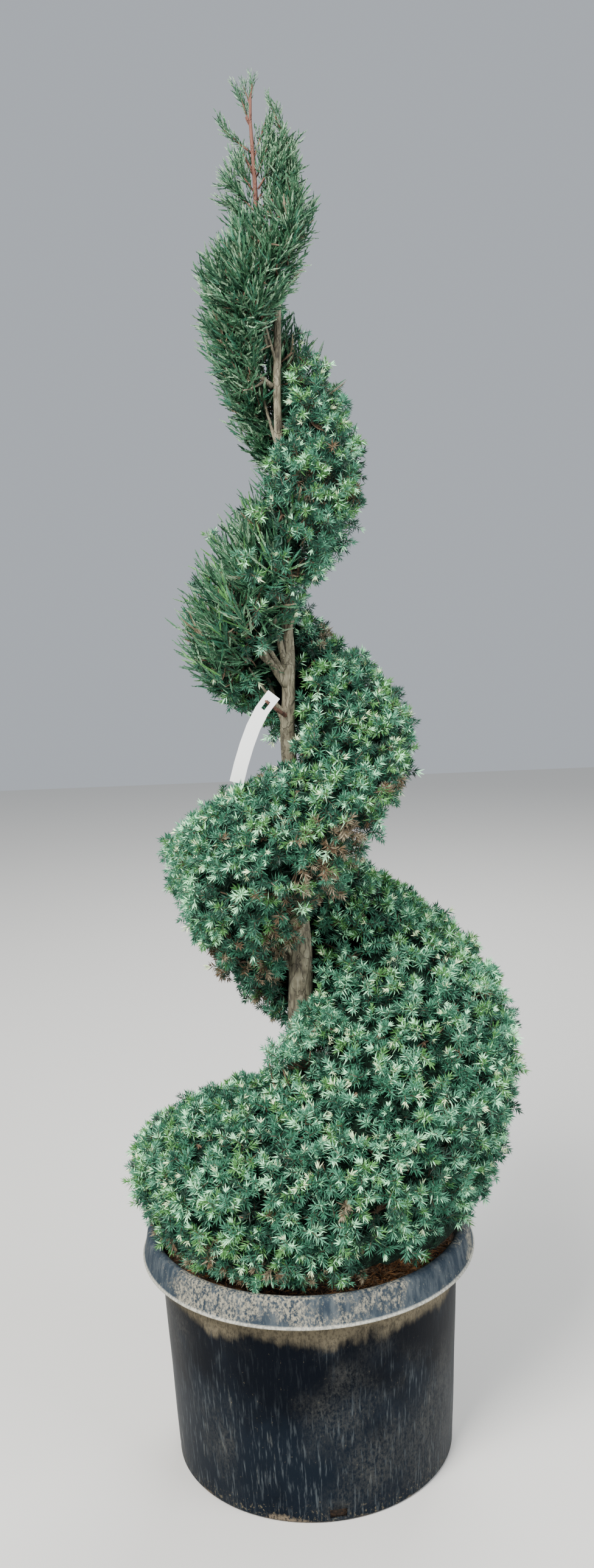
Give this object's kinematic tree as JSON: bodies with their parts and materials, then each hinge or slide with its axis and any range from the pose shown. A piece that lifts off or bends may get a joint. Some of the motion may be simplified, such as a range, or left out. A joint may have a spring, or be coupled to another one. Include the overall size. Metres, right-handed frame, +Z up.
{
  "type": "potted spiral topiary",
  "caption": "Blue-green juniper clipped to a rising spiral of foliage round one bare trunk, standing in a black nursery pot with a white tag.",
  "frame": {"origin": "middle of the pot's flat underside", "axes": "+Z up along the trunk, -Y towards the picture's camera, +X to its right"},
  "size_m": [0.7123, 0.6908, 2.3906],
  "materials": {
    "pot": "blue-black moulded plastic, dusty rim, dried mud streaks",
    "mix": "bark potting mix with dead needles",
    "bark": "grey-brown bark in upright plates",
    "bough": "brown bark, reddish towards the tips",
    "needles": "dense awl-shaped needles, blue-green with pale tips",
    "fine_needles": "fine scale-like shoots, darker green",
    "tag": "blank white sheet"
  },
  "bodies": {
    "root": {"pot": "pot", "potting_mix": "mix", "trunk": "bark", "bough_01": "bough", "bough_02": "bough", "bough_03": "bough", "bough_04": "bough", "bough_05": "bough", "bough_06": "bough", "bough_07": "bough", "bough_08": "bough", "bough_09": "bough", "bough_10": "bough", "bough_11": "bough", "bough_12": "bough", "bough_13": "bough", "bough_14": "bough", "bough_15": "bough", "bough_16": "bough", "bough_17": "bough", "bough_18": "bough", "bough_19": "bough", "bough_20": "bough", "mass_01": "needles", "mass_02": "needles", "mass_03": "needles", "mass_04": "needles", "mass_05": "needles", "mass_06": "needles", "mass_07": "needles", "mass_08": "needles", "mass_09": "needles", "mass_10": "needles", "mass_11": "needles", "mass_12": "needles", "mass_13": "needles", "mass_14": "needles", "mass_15": "needles", "mass_16": "fine_needles", "mass_17": "fine_needles", "mass_18": "fine_needles", "mass_19": "fine_needles", "mass_20": "fine_needles", "mass_21": "fine_needles", "tag_spur": "bough", "tag": "tag"}
  },
  "joints": []
}
